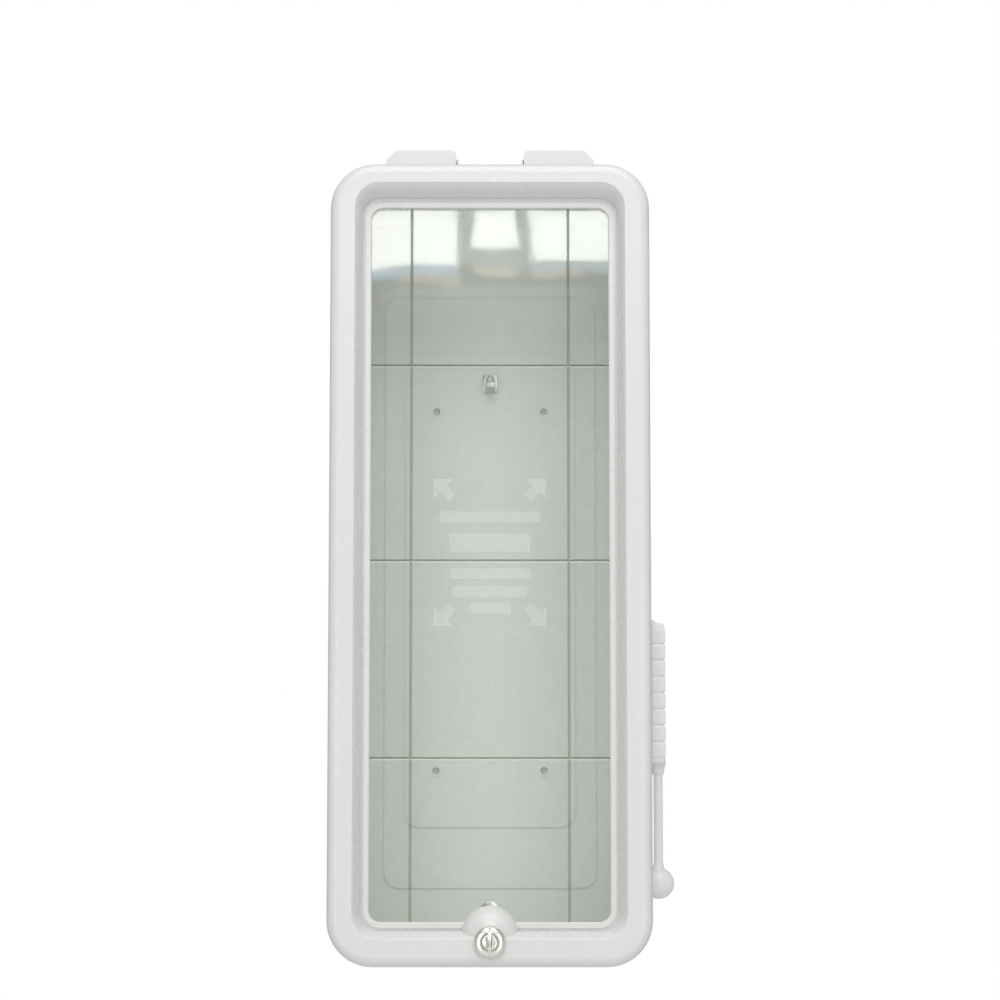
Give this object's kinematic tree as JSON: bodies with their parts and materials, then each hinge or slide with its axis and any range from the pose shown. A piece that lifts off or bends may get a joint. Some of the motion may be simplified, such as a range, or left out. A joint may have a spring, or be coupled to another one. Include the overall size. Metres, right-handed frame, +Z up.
{
  "type": "fire extinguisher cabinet",
  "caption": "Surface-mounted extinguisher cabinet: moulded box, swing-up door with a scored clear panel, cam lock with key, and a strike hammer on its side.",
  "frame": {"origin": "centre of the box's flat back face, which lies against the wall", "axes": "+X to the right seen from the front, the front faces -Y, +Z up"},
  "size_m": [0.2685, 0.2174, 0.638],
  "materials": {
    "white_plastic": "glossy moulded",
    "clear_acrylic": "clear with a slight green tint, scored",
    "nickel_plate": "satin nickel plate",
    "zinc_steel": "zinc plated",
    "bumper_rubber": "matte"
  },
  "bodies": {
    "cabinet": {"back_box": "white_plastic", "bracket_screw_1": "zinc_steel", "bracket_screw_2": "zinc_steel", "bracket_screw_3": "zinc_steel", "bracket_screw_4": "zinc_steel", "extinguisher_hook": "zinc_steel", "hammer_clip_lower": "white_plastic", "hammer_clip_screw_lower": "zinc_steel", "hammer_clip_screw_upper": "zinc_steel", "hammer_clip_upper": "white_plastic", "hinge_bracket_left": "white_plastic", "hinge_bracket_right": "white_plastic", "hinge_pin_left": "zinc_steel", "hinge_pin_right": "zinc_steel", "hook_screw": "zinc_steel", "keeper_screw_1": "zinc_steel", "keeper_screw_2": "zinc_steel", "lock_keeper": "zinc_steel"},
    "door": {"clear_panel": "clear_acrylic", "door_bumper_left": "bumper_rubber", "door_bumper_right": "bumper_rubber", "door_frame": "white_plastic", "lock_barrel": "nickel_plate", "lock_nut": "zinc_steel", "lock_washer": "zinc_steel", "panel_clip_bottom_left": "white_plastic", "panel_clip_bottom_right": "white_plastic", "panel_clip_lower_left": "white_plastic", "panel_clip_lower_right": "white_plastic", "panel_clip_screw_bottom_left": "zinc_steel", "panel_clip_screw_bottom_right": "zinc_steel", "panel_clip_screw_lower_left": "zinc_steel", "panel_clip_screw_lower_right": "zinc_steel", "panel_clip_screw_top": "zinc_steel", "panel_clip_screw_upper_left": "zinc_steel", "panel_clip_screw_upper_right": "zinc_steel", "panel_clip_top": "white_plastic", "panel_clip_upper_left": "white_plastic", "panel_clip_upper_right": "white_plastic"},
    "lock_core": {"lock_plug": "nickel_plate", "lock_cam": "zinc_steel", "cam_screw": "zinc_steel"},
    "key_body": {"key": "nickel_plate"},
    "hammer": {"hammer_handle": "white_plastic", "hammer_shaft": "white_plastic"}
  },
  "joints": [
    {"name": "door_hinge", "type": "hinge", "parent": "cabinet", "child": "door", "pos_m": [0, -0.136, 0.3195], "axis": [-1, 0, 0], "range_deg": [0, 100]},
    {"name": "lock_turn", "type": "hinge", "parent": "door", "child": "lock_core", "pos_m": [0, -0.16, -0.291], "axis": [0, 1, 0], "range_deg": [0, 90]},
    {"name": "key_withdraw", "type": "slide", "parent": "lock_core", "child": "key_body", "axis": [0, -1, 0], "range_m": [0, 0.035]},
    {"name": "hammer_pull", "type": "slide", "parent": "cabinet", "child": "hammer", "axis": [1, 0, 0], "range_m": [0, 0.06]}
  ]
}
